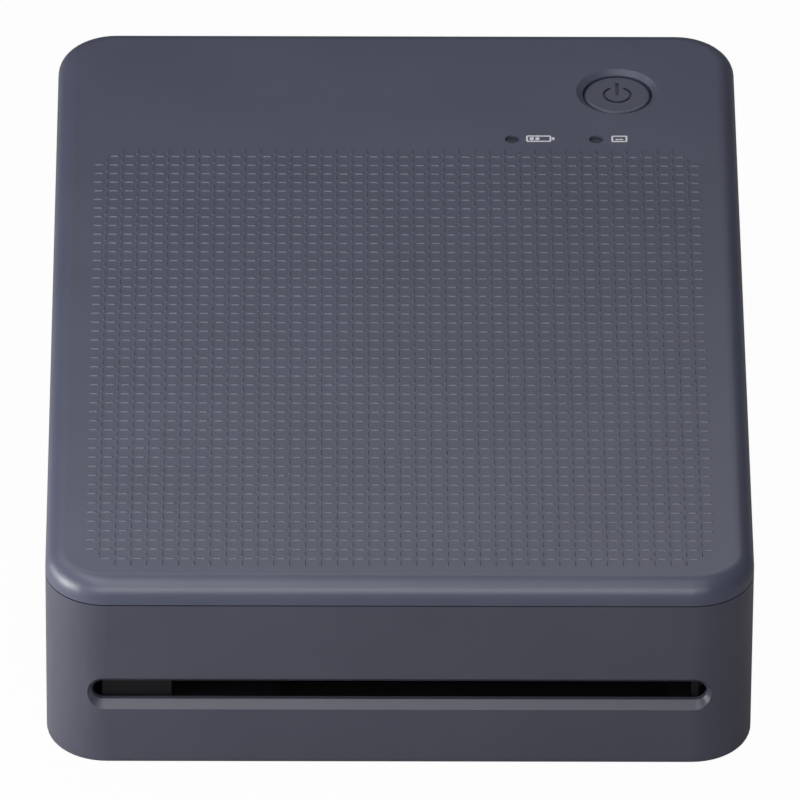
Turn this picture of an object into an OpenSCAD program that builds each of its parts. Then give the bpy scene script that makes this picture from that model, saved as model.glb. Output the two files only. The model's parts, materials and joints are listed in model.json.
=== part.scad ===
// Compact photo printer, millimetres, +Z up.
// The origin is under the middle of the case, in the plane that the feet stand on.
// The front, with the exit slot, faces -Y. The lid is hinged along the rear edge.

/* [Case] */
// Width of the case, left to right
body_w = 102.2; // [101.8:0.1:106]
// Depth of the case, front to rear
body_d = 145.8; // [145.2:0.1:152]
// Height from the table to the top of the lid
body_h = 32.9; // [32.6:0.1:35]
// Height of the lid above the seam
lid_h = 3.9; // [3.8:0.1:5]
// Radius of the four upright corners
corner_r = 8.8; // [8:0.1:10]
// Radius of the edge round the top of the lid
top_edge_r = 2.8; // [2.4:0.1:2.9]
// Radius of the edge round the underside
bottom_edge_r = 1.1; // [0.6:0.1:1.5]
// Wall of the case and the lid
wall = 1.8; // [1.6:0.1:2]
// Gap of the seam
seam_gap = 0.2; // [0.15:0.05:0.3]
// Height of the rubber feet below the case
foot_h = 1; // [0.6:0.1:1.2]
// Radius of a rubber foot
foot_r = 4.5; // [3.5:0.1:5]

/* [Exit slot] */
// Width of the slot beyond the sheet, on each side
slot_side = 8.4; // [6:0.1:9]
// Clear height of the slot
slot_h = 3.25; // [2.8:0.05:3.6]
// Bevel round the slot
slot_bevel = 1.1; // [0.8:0.1:1.3]

/* [Power button and lamps] */
// Gap between the button's flange and the right side of the lid's liner
button_side_room = 0.3; // [0.2:0.1:4]
// Gap between the button's flange and the rear of the lid's liner
button_rear_room = 0.5; // [0.3:0.1:3]
// Radius of the button cap
button_r = 4.85; // [4.4:0.05:5.2]
// Gap between the cap and its hole
button_gap = 0.45; // [0.3:0.05:0.5]
// Depth of the cap below the top of the lid
button_drop = 0.6; // [0.5:0.1:1]
// Travel of the button
button_travel = 0.3; // [0.2:0.05:0.3]
// Radius of the dished ring round the button
dish_r = 6.2; // [5.9:0.05:6.4]
// Distance of the left lamp from the button, across the lid
charge_lamp_reach = 16; // [13:0.1:19]
// Distance of the right lamp from the button, across the lid
status_lamp_reach = 3.4; // [2:0.1:5]
// Distance of both lamps from the button, along the lid
lamp_reach = 13.1; // [12:0.1:14]
// Radius of a lamp hole
lamp_r = 1.05; // [0.9:0.05:1.2]

/* [Lid hinge and latch] */
// Radius of the hinge pins
hinge_pin_r = 0.8; // [0.6:0.05:0.85]
// Radius of the case's hinge lugs
lug_r = 1.8; // [1.7:0.05:1.9]
// Distance of each lug from the middle
lug_x = 31; // [26:0.1:34]
// Width of a lug
lug_w = 6; // [4:0.1:7]
// Radius of the latch magnets
magnet_r = 2; // [1.5:0.1:2.3]
// Depth of the finger scoops
scoop_depth = 1; // [0.6:0.1:1.2]

/* [Paper] */
// Room beside the sheet for the drive, the side plates and the walls
side_room = 30.2; // [29.8:0.1:34]
// Room between the front wall and the exit roller
exit_room = 8.8; // [8.6:0.1:10]
// Room between the paper tray and the hinge axis
hinge_room = 3.7; // [3.6:0.1:6]
// Middle of the sheet across the case
paper_x = 5.8; // [5.6:0.1:6]
// Room between the battery and the sheet above it
path_room = 3.7; // [3.6:0.1:5]

/* [Rollers] */
// Distance from the tray to the capstan
capstan_reach = 6.3; // [6:0.1:7]
// Radius of the capstan
capstan_r = 2.25; // [2:0.05:2.4]
// Radius of the pinch roller
pinch_r = 2.5; // [2.2:0.05:2.6]
// Radius of the platen roller
platen_r = 4.5; // [4:0.05:4.7]
// Radius of the exit roller
exit_r = 1.9; // [1.7:0.05:2]
// Radius of the small roller over the exit roller
exit_idler_r = 1.5; // [1.3:0.05:1.55]
// Radius of the pick roller in the tray
pick_r = 3.2; // [2.9:0.05:3.3]
// Radius of the roller shafts
shaft_r = 1; // [0.8:0.05:1.05]

/* [Gears] */
// Module of all gears
tooth_module = 0.5; // [0.49:0.005:0.505]
// Width of a gear
gear_t = 1.8; // [1.4:0.1:1.9]
// Play between meshing teeth
backlash = 0.1; // [0.08:0.01:0.12]

/* [Ribbon cassette] */
// Radius of a full ribbon roll
roll_r = 4.2; // [3.6:0.1:4.2]
// Gap between a full roll and its housing
housing_gap = 0.5; // [0.4:0.05:0.7]
// Wall of a spool housing
housing_t = 0.8; // [0.6:0.1:1]

/* [Chassis] */
// Thickness of the side plates
plate_t = 0.8; // [0.6:0.1:0.9]
// Thickness of the inner deck
deck_t = 1.2; // [1:0.1:1.3]
// Thickness of the tray and its walls
tray_t = 0.8; // [0.7:0.1:1]
// Thickness of the battery pack
battery_t = 7; // [5:0.1:7.4]
// Thickness of the circuit boards
board_t = 1; // [0.8:0.1:1.2]

/* [Hidden] */
$fn = 48;

eps = 0.01;
far = 200;
// Clearance of a part that drops into its place, and of a running shaft
fit = 0.2;
run = 0.05;
// Gap between parts that pass or roll on each other
air = 0.3;

// Gear tooth counts
capstan_teeth = 28;
takeup_teeth = 25;
exit_teeth = 22;
small_teeth = 12;
large_teeth = 36;
pinion_teeth = 12;
pick_idler_teeth = 12;
pick_teeth = 16;
pressure_angle = 25;
tip_height = 0.8 * tooth_module;
root_depth = 1.05 * tooth_module;
mesh_gap = 0.04;

function pitch_r(n) = tooth_module * n / 2;
function mesh(n, m) = pitch_r(n) + pitch_r(m) + mesh_gap;
function polar(c, d, a) = [c[0] + d * cos(a), c[1] + d * sin(a)];
function heading(p, q) = atan2(q[1] - p[1], q[0] - p[0]);
// The point at distance a from p and b from q, to the left of the way from p to q
function meet(p, q, a, b) =
  let (d = norm(q - p), x = (a * a - b * b + d * d) / (2 * d), h = sqrt(a * a - x * x))
  p + (q - p) * x / d + [-(q - p)[1], (q - p)[0]] * h / d;

// The head stands midway between the two spools. Places are [y, z] from the capstan's centre.
head_w = 6.6;
housing_r = roll_r + housing_gap + housing_t;
spool_half_pitch = head_w / 2 + housing_r + 1.1;
takeup_at = polar([0, 0], mesh(capstan_teeth, takeup_teeth), 138);
supply_at = takeup_at - [2 * spool_half_pitch, 0];

// The exit roller stands in front of the supply spool, and three idlers lead to it from the capstan
idler_angles = [194, -12];
exit_idler_rise = capstan_r + air + exit_idler_r;
exit_reach = sqrt(pow(housing_r + exit_idler_r + 0.42, 2) - pow(supply_at[1] - exit_idler_rise, 2))
  - supply_at[0];
idler_teeth = ceil((exit_reach / tooth_module - capstan_teeth / 2 - exit_teeth / 2) / 3 + 0.5);

// The widest sheet and the longest tray that fit in the case
paper_w = body_w - side_room;
tray_l = body_d - wall - exit_room - exit_reach - capstan_reach - 2 * tray_t - hinge_room - top_edge_r;
floor_z = foot_h + wall;
path_z = floor_z + battery_t + path_room;
seam_z = body_h - lid_h;
lid_z = seam_z + seam_gap;
lid_under = body_h - wall;
inner_w = body_w - 2 * wall;
inner_d = body_d - 2 * wall;
side_x = inner_w / 2;
front_y = -inner_d / 2;
rear_y = inner_d / 2;
slot_w = paper_w + 2 * slot_side;

// The hinge axis is the centre of the lid's rear edge radius
axis_y = body_d / 2 - top_edge_r;
axis_z = body_h - top_edge_r;
barrel_r = top_edge_r - run;
trough_r = top_edge_r + seam_gap;
neck_angle = -145;
neck_t = 1.4;
post_y = [axis_y - 3.3, axis_y - 1.8];
bracket_z = [axis_z - 10, axis_z - 3.5];
pin_l = lug_w + 7;

// Side plates and tray stand on both sides of the sheet
plate_left_x = paper_x - paper_w / 2 - 3.8;
plate_right_x = paper_x + paper_w / 2 + 1.4;
tray_x = [paper_x - paper_w / 2 - 0.5 - tray_t, paper_x + paper_w / 2 + 0.3 + tray_t];
tray_y = [axis_y - hinge_room - tray_l - 2 * tray_t, axis_y - hinge_room];
capstan_y = tray_y[0] - capstan_reach;
exit_y = capstan_y - exit_reach;
plate_y = [exit_y - 4, capstan_y + 31];
plate_z = [floor_z, seam_z - 2.8];
deck_z = seam_z - 0.6 - deck_t;
tray_floor_z = path_z + 1.7;
tray_floor_t = 1.2;
ramp_l = 2.3;
deck_back = tray_y[1] - 0.4;

// Gear layers, outside the left plate
layer_a = plate_left_x - 0.8 - gear_t;
layer_b = layer_a - 0.6 - gear_t;

// Roller and gear centres as [y, z]
capstan_c = [capstan_y, path_z - capstan_r];
pinch_c = [capstan_y, path_z + air + pinch_r];
takeup_c = capstan_c + takeup_at;
supply_c = capstan_c + supply_at;
exit_c = [exit_y, path_z - exit_r];
exit_idler_c = [exit_y, path_z + air + exit_idler_r];
idler_1_c = polar(capstan_c, mesh(capstan_teeth, idler_teeth), idler_angles[0]);
idler_3_c = polar(exit_c, mesh(exit_teeth, idler_teeth), idler_angles[1]);
idler_2_c = meet(idler_3_c, idler_1_c, mesh(idler_teeth, idler_teeth), mesh(idler_teeth, idler_teeth));
reduction_c = polar(capstan_c, mesh(capstan_teeth, small_teeth), 20);
motor_c = polar(reduction_c, mesh(large_teeth, pinion_teeth), -10);
pick_idler_c = polar(reduction_c, mesh(small_teeth, pick_idler_teeth), 72);
pick_c = polar(pick_idler_c, mesh(pick_teeth, pick_idler_teeth), 17);

head_y = takeup_c[0] - spool_half_pitch;
platen_c = [head_y, path_z - platen_r];
head_z = path_z + air;
beam_z = [takeup_c[1] + 1.6, takeup_c[1] + 4.2];
cassette_x = [plate_left_x + 1.4, side_x - 1.5];
end_t = 1.2;
grip_t = 3;
core_r = 1.5;

// The ink door in the right side wall
door_gap = 0.4;
door_y = [supply_c[0] - housing_r - door_gap, takeup_c[0] + housing_r + door_gap];
door_z = [takeup_c[1] - housing_r - 2 * door_gap, takeup_c[1] + housing_r + door_gap];
door_barrel_r = 1.2;
door_axis = [body_w / 2 - door_barrel_r, door_z[0] + door_barrel_r + fit];
door_pin_r = 0.6;
ear_t = 1.4;

// Lid parts
liner_x = [tray_x[0] + 2.5, tray_x[1] - 2.9];
liner_y = [pick_c[0] + 7, tray_y[1] - 3.6];
liner_t = 0.8;
flange_t = 0.8;
flange_r = button_r + button_gap + 0.3;
button_x = liner_x[1] - liner_t - flange_r - button_side_room;
button_y = liner_y[1] - liner_t - flange_r - button_rear_room;
button_top = body_h - button_drop;
dish_in_r = button_r + button_gap + 0.05;
charge_lamp_x = button_x - charge_lamp_reach;
status_lamp_x = button_x - status_lamp_reach;
lamp_y = button_y - lamp_reach;
flange_z = lid_under - 0.1 - flange_t;
plunger_z = flange_z - button_travel - run;
board_top = plunger_z - 0.85;
liner_z = board_top - board_t - 1.8;
hold_z = path_z + 9.3;
pipe_top = body_h - 0.45;
magnet_t = 1.5;
magnet_at = [for (s = [-1, 1]) [s * (side_x - 9.3), front_y + 4.6]];
post_r = 1.8;
screw_r = 0.8;
plate_side_x = (plate_right_x + plate_t + side_x) / 2;
deck_posts = [[-side_x + 3.4, front_y + 4.3], [plate_side_x, front_y + 4.3], [plate_side_x, capstan_y + 3],
  [-side_x + 2.4, capstan_y + 39], [-side_x + 2.7, rear_y - 13.1], [side_x - 2.7, rear_y - 13.1]];
foot_at = [for (sx = [-1, 1], sy = [-1, 1]) [sx * (body_w / 2 - 12), sy * (body_d / 2 - 12)]];

// Boards and battery below the paper path
board_l = 32.2;
board_z = floor_z + 2.2;
board_box = [[-side_x + 5.9, rear_y - 5.1 - board_l], [side_x - 5.9, rear_y - 5.1]];
board_posts = [for (s = [-1, 1], y = [board_box[0][1] + 3.2, board_box[1][1] - 3]) [s * (side_x - 9.3), y]];
usb_x = 19.3 - side_x;
usb_w = 8.9;
usb_h = 3.2;
usb_z = board_z + board_t + usb_h / 2;
floor_plate_z = path_z - 1.9;
floor_plate_t = 0.8;
battery_box = [[tray_x[0] + 9.5, capstan_y + 15], [tray_x[1] - 4.9, board_box[0][1] - 4.2]];
leg_at = [for (y = [battery_box[0][1] - 3.5, battery_box[1][1] + 2.2],
  x = [tray_x[0] + 1.5, tray_x[1] - 2.5]) [x, y]];

// ---- shared shapes ----

module rounded_rect(w, d, r) {
  square([w - 2 * r, d], center = true);
  square([w, d - 2 * r], center = true);
  for (sx = [-1, 1], sy = [-1, 1]) translate([sx * (w / 2 - r), sy * (d / 2 - r)]) circle(r);
}

module stadium(w, h) {
  square([w - h, h], center = true);
  for (s = [-1, 1]) translate([s * (w - h) / 2, 0]) circle(h / 2);
}

// A section w wide and h high with its two top corners rounded
module edge_profile(w, h, e) {
  translate([-w / 2, 0]) square([w, h - e]);
  translate([-w / 2 + e, 0]) square([w - 2 * e, h]);
  for (s = [-1, 1]) intersection() {
    translate([s * (w / 2 - e), h - e]) circle(e);
    translate([-w / 2, 0]) square([w, h]);
  }
}

// A slab with upright corners of radius r and a top edge of radius e
module pillow(w, d, r, h, e) {
  translate([0, d / 2 - r, 0]) rotate([90, 0, 0]) linear_extrude(d - 2 * r) edge_profile(w, h, e);
  translate([-w / 2 + r, 0, 0]) rotate([90, 0, 90]) linear_extrude(w - 2 * r) edge_profile(d, h, e);
  for (sx = [-1, 1], sy = [-1, 1]) translate([sx * (w / 2 - r), sy * (d / 2 - r), 0])
    rotate_extrude() intersection() {
      edge_profile(2 * r, h, e);
      translate([0, -1]) square([r + 1, h + 2]);
    }
}

// Extrudes a [y, z] outline from x0 to x1
module along_x(x0, x1) translate([x0, 0, 0]) rotate([90, 0, 90]) linear_extrude(x1 - x0) children();

// Extrudes an [x, z] outline from y0 to y1
module along_y(y0, y1) translate([0, y1, 0]) rotate([90, 0, 0]) linear_extrude(y1 - y0) children();

module rod_x(c, r, x0, x1) translate([x0, c[0], c[1]]) rotate([0, 90, 0]) cylinder(r = r, h = x1 - x0);

module rod_z(c, r, z0, z1) translate([c[0], c[1], z0]) cylinder(r = r, h = z1 - z0);

module block(p, q) translate(p) cube([q[0] - p[0], q[1] - p[1], q[2] - p[2]]);

module pan_screw(c, z, l) {
  translate([c[0], c[1], z]) difference() {
    cylinder(r = screw_r * 1.9, h = 0.9);
    for (a = [0, 90]) rotate(a) translate([-0.9, -0.15, 0.5]) cube([1.8, 0.3, 1]);
  }
  rod_z(c, screw_r, z - l, z + eps);
}

// ---- gears ----

function involute_angle(a) = tan(a) * 180 / PI - a;
// Half the angle that a tooth of an n-tooth gear spans at radius r
function half_tooth(n, r) =
  let (p = pitch_r(n), base = p * cos(pressure_angle))
  (PI * tooth_module / 4 - backlash / 4) / p * 180 / PI
    + involute_angle(pressure_angle) - involute_angle(acos(min(1, base / r)));
function gear_points(n, phase) =
  let (root = pitch_r(n) - root_depth, tip = pitch_r(n) + tip_height, mid = pitch_r(n))
  [for (i = [0:n - 1], s = [[root, -1], [mid, -1], [tip, -1], [tip, 1], [mid, 1], [root, 1]])
    s[0] * [cos(phase + i * 360 / n + s[1] * half_tooth(n, s[0])),
            sin(phase + i * 360 / n + s[1] * half_tooth(n, s[0]))]];
// The phase at which an m-tooth gear meshes with an n-tooth gear of phase p, centres along angle a
function meshed(m, n, p, a) = a + 180 + 360 / m * ((a - p) * n / 360 + 0.5);

capstan_phase = 0;
takeup_phase = meshed(takeup_teeth, capstan_teeth, capstan_phase, heading(capstan_c, takeup_c));
idler_1_phase = meshed(idler_teeth, capstan_teeth, capstan_phase, heading(capstan_c, idler_1_c));
idler_2_phase = meshed(idler_teeth, idler_teeth, idler_1_phase, heading(idler_1_c, idler_2_c));
idler_3_phase = meshed(idler_teeth, idler_teeth, idler_2_phase, heading(idler_2_c, idler_3_c));
exit_phase = meshed(exit_teeth, idler_teeth, idler_3_phase, heading(idler_3_c, exit_c));
small_phase = meshed(small_teeth, capstan_teeth, capstan_phase, heading(capstan_c, reduction_c));
large_phase = 0;
pinion_phase = meshed(pinion_teeth, large_teeth, large_phase, heading(reduction_c, motor_c));
pick_idler_phase = meshed(pick_idler_teeth, small_teeth, small_phase, heading(reduction_c, pick_idler_c));
pick_phase = meshed(pick_teeth, pick_idler_teeth, pick_idler_phase, heading(pick_idler_c, pick_c));

module gear(c, n, phase, x, bore) along_x(x, x + gear_t) translate(c) difference() {
  polygon(gear_points(n, phase));
  circle(bore);
}

// ---- case ----

module slot_cutter() {
  depth = 4;
  r_in = slot_h / 2;
  r_out = r_in + slot_bevel + 0.5;
  cx = slot_w / 2 - r_in;
  translate([0, -body_d / 2, path_z]) {
    along_y(-1, depth) stadium(slot_w, slot_h);
    for (s = [-1, 1]) translate([s * cx, slot_bevel, 0]) rotate([90, 0, 0])
      cylinder(r1 = r_in, r2 = r_out, h = r_out - r_in);
    along_x(-cx, cx) polygon([[slot_bevel, r_in], [slot_bevel, -r_in],
      [slot_bevel - r_out + r_in, -r_out], [slot_bevel - r_out + r_in, r_out]]);
  }
}

module door_opening() {
  block([side_x - 2, door_y[0], door_z[0]], [body_w / 2 + 1, door_y[1], door_z[1]]);
}

module hinge_bracket(x) along_x(x - lug_w / 2, x + lug_w / 2) {
  translate([axis_y, axis_z]) circle(lug_r);
  translate([axis_y, axis_z]) rotate(neck_angle) translate([0, -neck_t / 2]) square([3.3, neck_t]);
  translate([post_y[0], bracket_z[0]]) square([post_y[1] - post_y[0], axis_z - 1.5 - bracket_z[0]]);
  translate([post_y[0], bracket_z[0]]) square([rear_y + 0.3 - post_y[0], bracket_z[1] - bracket_z[0]]);
}

module scoop() {
  r = 14;
  for (s = [-1, 1]) translate([s * (body_w / 2 + r - scoop_depth), -12, seam_z - 3.2])
    cylinder(r = r, h = 4);
}

module lower_case() color([0.28, 0.28, 0.33]) difference() {
  union() {
    difference() {
      translate([0, 0, seam_z]) mirror([0, 0, 1])
        pillow(body_w, body_d, corner_r, seam_z - foot_h, bottom_edge_r);
      translate([0, 0, floor_z]) linear_extrude(seam_z) rounded_rect(inner_w, inner_d, corner_r - wall);
      slot_cutter();
      rod_x([axis_y, axis_z], trough_r, -far / 2, far / 2);
      door_opening();
      scoop();
    }
    for (p = deck_posts) rod_z(p, post_r, floor_z - eps, deck_z);
    for (p = board_posts) rod_z(p, 1.8, floor_z - eps, board_z);
    for (s = [-1, 1]) hinge_bracket(s * lug_x);
    for (y = [door_y[0] - ear_t, door_y[1]])
      block([side_x - 1.4, y, door_z[0] - 0.6], [side_x + eps, y + ear_t, door_axis[1] + 2]);
    // Ribs that hold the battery pack
    for (y = [battery_box[0][1] - 1.2, battery_box[1][1] + 0.2])
      block([battery_box[0][0], y, floor_z - eps], [battery_box[1][0], y + 1, floor_z + 3]);
  }
  for (p = deck_posts) rod_z(p, screw_r, deck_z - 6, deck_z + 1);
  for (p = board_posts) rod_z(p, screw_r, floor_z, board_z + 1);
  for (p = plate_screws) rod_z(p, screw_r, foot_h + 0.6, floor_z + 1);
  for (p = foot_at) rod_z(p, foot_r + 0.1, 0, foot_h + 0.4);
  for (s = [-1, 1]) rod_x([axis_y, axis_z], hinge_pin_r, s * lug_x - pin_l / 2, s * lug_x + pin_l / 2);
  translate([door_axis[0], door_y[1] + ear_t + 0.5, door_axis[1]]) rotate([90, 0, 0])
    cylinder(r = door_pin_r + run, h = door_y[1] - door_y[0] + 2 * ear_t + 1);
  along_y(rear_y - 1, body_d / 2 + 1) translate([usb_x, usb_z]) stadium(usb_w + 0.4, usb_h + 0.4);
}

module feet() color([0.12, 0.12, 0.13]) for (p = foot_at) {
  rod_z(p, foot_r, 0.3, foot_h + 0.4);
  translate([p[0], p[1], 0]) cylinder(r1 = foot_r - 0.3, r2 = foot_r, h = 0.3);
}

module hinge_pins() color("silver") for (s = [-1, 1])
  rod_x([axis_y, axis_z], hinge_pin_r, s * lug_x - pin_l / 2, s * lug_x + pin_l / 2);

// ---- deck and tray ----

module inner_deck() color([0.2, 0.2, 0.23]) difference() {
  union() {
    translate([0, 0, deck_z]) linear_extrude(deck_t) difference() {
      intersection() {
        rounded_rect(inner_w - 2 * air, inner_d - 2 * air, corner_r - wall - air);
        translate([-far / 2, -far + deck_back]) square([far, far]);
      }
      translate([tray_x[0] - 0.4, tray_y[0] - 0.4])
        square([tray_x[1] - tray_x[0] + 0.8, tray_y[1] - tray_y[0] + far]);
    }
    for (p = magnet_at) rod_z(p, magnet_r + 0.8, deck_z - 1, deck_z + eps);
  }
  for (p = magnet_at) rod_z(p, magnet_r + run, deck_z + deck_t - magnet_t, deck_z + deck_t + 1);
  for (p = deck_posts) rod_z(p, screw_r + 0.1, deck_z - 1, deck_z + deck_t + 1);
  // Grip lines moulded along the front of the deck
  for (i = [0:4]) block([-12, front_y + 10 + 3 * i, deck_z + deck_t - 0.3],
    [12, front_y + 11 + 3 * i, deck_z + deck_t + 1]);
}

module deck_magnets() color("silver") for (p = magnet_at)
  rod_z(p, magnet_r, deck_z + deck_t - magnet_t, deck_z + deck_t);

module deck_screws() color("silver") for (p = deck_posts) pan_screw(p, deck_z + deck_t, 5);

lift_pivot = [tray_y[0] + 40.7, tray_floor_z + tray_floor_t + 1.2];
lift_x = [paper_x - 14, paper_x + 14];
lift_t = 0.7;
// At rest the plate stops just under the pick roller
lift_rise = asin((pick_c[1] - pick_r - air - lift_t / 2 - lift_pivot[1]) / (lift_pivot[0] - pick_c[0]));
lift_pin_r = 0.6;
tray_top = deck_z - 0.2;

module paper_tray() color([0.16, 0.16, 0.18]) difference() {
  union() {
    along_x(tray_x[0], tray_x[1]) polygon([[tray_y[1], tray_floor_z],
      [tray_y[1], tray_floor_z + tray_floor_t], [tray_y[0], tray_floor_z + tray_floor_t],
      [tray_y[0] - ramp_l, tray_floor_z + tray_floor_t - 1],
      [tray_y[0] - ramp_l, tray_floor_z - 0.3], [tray_y[0], tray_floor_z]]);
    difference() {
      block([tray_x[0], tray_y[0], tray_floor_z], [tray_x[1], tray_y[1], tray_top]);
      block([tray_x[0] + tray_t, tray_y[0] + tray_t, tray_floor_z + tray_floor_t],
        [tray_x[1] - tray_t, tray_y[1] - tray_t, tray_top + 1]);
      block([tray_x[0] + tray_t, tray_y[0] - 1, tray_floor_z + tray_floor_t],
        [tray_x[1] - tray_t, tray_y[0] + 2, tray_floor_z + tray_floor_t + 2.4]);
    }
    for (x = [lift_x[0] - 1.6, lift_x[1] + 0.4]) along_x(x, x + 1.2) {
      translate(lift_pivot) circle(1.2);
      translate([lift_pivot[0] - 1.2, tray_floor_z + tray_floor_t - eps]) square([2.4, 1.2]);
    }
  }
  // Slots that the pick shaft drops into
  for (x = [tray_x[0] - 1, tray_x[1] - tray_t - 1]) along_x(x, x + tray_t + 2) {
    translate(pick_c) circle(shaft_r + air);
    translate([pick_c[0] - shaft_r - air, pick_c[1]]) square([2 * (shaft_r + air), far]);
  }
  rod_x(lift_pivot, lift_pin_r + run, lift_x[0] - 3, lift_x[1] + 3);
}

// The plate rises towards the pick roller; its springs press it up
module lift_plate() color([0.55, 0.56, 0.58]) {
  translate([0, lift_pivot[0], lift_pivot[1]]) rotate([-lift_rise, 0, 0]) difference() {
    along_x(lift_x[0], lift_x[1]) {
      circle(0.9);
      translate([-34, -lift_t / 2]) square([34, lift_t]);
    }
    for (x = [-8, 8]) translate([paper_x + x, -18, -2]) linear_extrude(4) rotate(90) stadium(18, 6);
  }
  rod_x(lift_pivot, lift_pin_r, lift_x[0] - 1.5, lift_x[1] + 1.5);
}

module lift_spring() color("silver") along_x(paper_x - 2, paper_x + 2) {
  z = tray_floor_z + tray_floor_t;
  y = lift_pivot[0] - 26;
  top = lift_pivot[1] + 26 * tan(lift_rise) - lift_t / 2 - run;
  polygon([[y + 20, z], [y + 12, z], [y, top - 0.2], [y - 2, top - 0.4], [y - 2, top - 0.2], [y, top],
    [y + 12, z + 0.2], [y + 20, z + 0.2]]);
}

// ---- sheet path ----

guide_x = [plate_left_x + plate_t, plate_right_x];

module exit_guide() color([0.1, 0.1, 0.11]) difference() {
  union() {
    along_x(guide_x[0] + 0.2, guide_x[1]) {
      polygon([[front_y + 0.2, path_z - 4.5], [front_y + 0.2, path_z - 1.9], [exit_y - 4.9, path_z - 1.2],
        [exit_y - 4.9, path_z - 4.5]]);
      polygon([[front_y + 0.2, path_z + 5], [front_y + 0.2, path_z + 1.9], [exit_y - 4.4, path_z + 1.2],
        [exit_y - 4.4, path_z + 5]]);
    }
    // The block beside the sheet, behind the left end of the slot
    block([-side_x + corner_r - wall - 0.6, front_y + 0.2, path_z - 4.5],
      [guide_x[0] + 0.3, exit_y - pitch_r(exit_teeth) - tip_height - 0.5, path_z + 5]);
    block([guide_x[1] - 1, front_y + 0.2, path_z - 4.5], [guide_x[1], exit_y - 4.9, path_z + 5]);
  }
  // Shallow recess in the floor of the exit
  along_x(paper_x + 13 - paper_w / 2, paper_x - 3 + paper_w / 2)
    polygon([[front_y - 1, path_z - 2.2], [front_y - 1, path_z - 1], [exit_y, path_z - 1],
      [exit_y, path_z - 1.6]]);
}

module path_guide() color([0.13, 0.13, 0.14]) difference() {
  block([guide_x[0], exit_y + 2.7, path_z - 2.4], [guide_x[1], capstan_y - capstan_r - 0.8, path_z - 1.2]);
  block([guide_x[0] + 1, head_y - platen_r - 0.6, path_z - 3],
    [guide_x[1] - 1, head_y + platen_r + 0.6, path_z]);
}

module path_floor() color([0.15, 0.15, 0.17]) difference() {
  union() {
    block([tray_x[0], tray_y[0] - 2, floor_plate_z], [tray_x[1], tray_y[1], floor_plate_z + floor_plate_t]);
    for (x = [tray_x[0], tray_x[1] - 0.8])
      block([x, tray_y[0], floor_plate_z], [x + 0.8, tray_y[1], tray_floor_z - 0.1]);
    for (p = leg_at) rod_z(p, 1.6, floor_z, floor_plate_z + eps);
    for (x = [paper_x - 24 : 12 : paper_x + 24])
      block([x - 0.3, tray_y[0] - 1, floor_plate_z],
        [x + 0.3, tray_y[1] - 1, floor_plate_z + floor_plate_t + 0.3]);
  }
  // Cooling slots over the boards
  for (i = [0:6]) block([paper_x - 20 + 6 * i, rear_y - 31.1, floor_plate_z - 1],
    [paper_x - 18 + 6 * i, rear_y - 13.1, path_z]);
}

// ---- chassis ----

tab_y = [[exit_y + 2, exit_y + 8], [capstan_y + 19, capstan_y + 25]];
tab_x = [plate_left_x - 4.6, side_x - 0.9];
plate_screws = [for (y = [tab_y[0][0] + 3, tab_y[1][0] + 3], x = [plate_left_x - 2.6, plate_side_x]) [x, y]];

module plate_outline() {
  translate([plate_y[0], plate_z[0]]) square([plate_y[1] - plate_y[0], plate_z[1] - plate_z[0]]);
}

module plate_bores() {
  for (c = [capstan_c, platen_c]) translate(c) circle(shaft_r + 0.8);
  for (c = [exit_c, pick_c]) translate(c) circle(shaft_r + run);
  translate(pinch_c) circle(shaft_r + run);
  translate(exit_idler_c) circle(0.7 + run);
}

module side_plate_left() color([0.62, 0.63, 0.65]) difference() {
  union() {
    along_x(plate_left_x, plate_left_x + plate_t) difference() {
      plate_outline();
      plate_bores();
      translate(takeup_c) circle(core_r + run);
      translate([supply_c[0], supply_c[1]]) circle(3);
      for (y = [13, 21]) translate([capstan_y + y, floor_z + 5.2]) circle(2);
    }
    for (c = [idler_1_c, idler_2_c, idler_3_c, pick_idler_c])
      rod_x(c, 0.9, layer_a - 0.4, plate_left_x + eps);
    rod_x(reduction_c, 0.9, layer_b - 0.1, plate_left_x + eps);
    for (y = tab_y) block([tab_x[0], y[0], floor_z], [plate_left_x + eps, y[1], floor_z + plate_t]);
  }
  for (p = plate_screws) rod_z(p, screw_r + 0.1, floor_z - 1, floor_z + 2);
}

module side_plate_right() color([0.62, 0.63, 0.65]) difference() {
  union() {
    along_x(plate_right_x, plate_right_x + plate_t) difference() {
      plate_outline();
      plate_bores();
      // Notches that the two spool housings slide in through
      for (c = [supply_c, takeup_c]) {
        translate(c) circle(housing_r + 0.4);
        translate([c[0] - housing_r - 0.4, c[1]]) square([2 * housing_r + 0.8, far]);
      }
      translate([head_y - 6, beam_z[1]]) square([12, far]);
    }
    for (y = tab_y)
      block([plate_right_x + plate_t - eps, y[0], floor_z], [tab_x[1], y[1], floor_z + plate_t]);
  }
  for (p = plate_screws) rod_z(p, screw_r + 0.1, floor_z - 1, floor_z + 2);
}

module chassis_screws() color("silver") for (p = plate_screws) pan_screw(p, floor_z + plate_t, plate_t + 1);

module roller_bushes() color([0.72, 0.55, 0.3]) for (c = [capstan_c, platen_c]) {
  difference() {
    rod_x(c, shaft_r + 0.8, plate_left_x, plate_left_x + plate_t + 0.6);
    rod_x(c, shaft_r + run, plate_left_x - 1, plate_left_x + 3);
  }
  difference() {
    rod_x(c, shaft_r + 0.8, plate_right_x - 0.6, plate_right_x + plate_t);
    rod_x(c, shaft_r + run, plate_right_x - 2, plate_right_x + 2);
  }
}

module head_beam() color([0.6, 0.61, 0.63]) difference() {
  along_x(guide_x[0], guide_x[1]) difference() {
    translate([head_y - head_w / 2, beam_z[0]]) square([head_w, beam_z[1] - beam_z[0]]);
    translate([head_y - head_w / 2 + 0.8, beam_z[0] + 0.8]) square([head_w - 1.6, far]);
  }
  for (x = [-20, 0, 20]) rod_z([paper_x + x, head_y], 1, 0, far);
}

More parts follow.
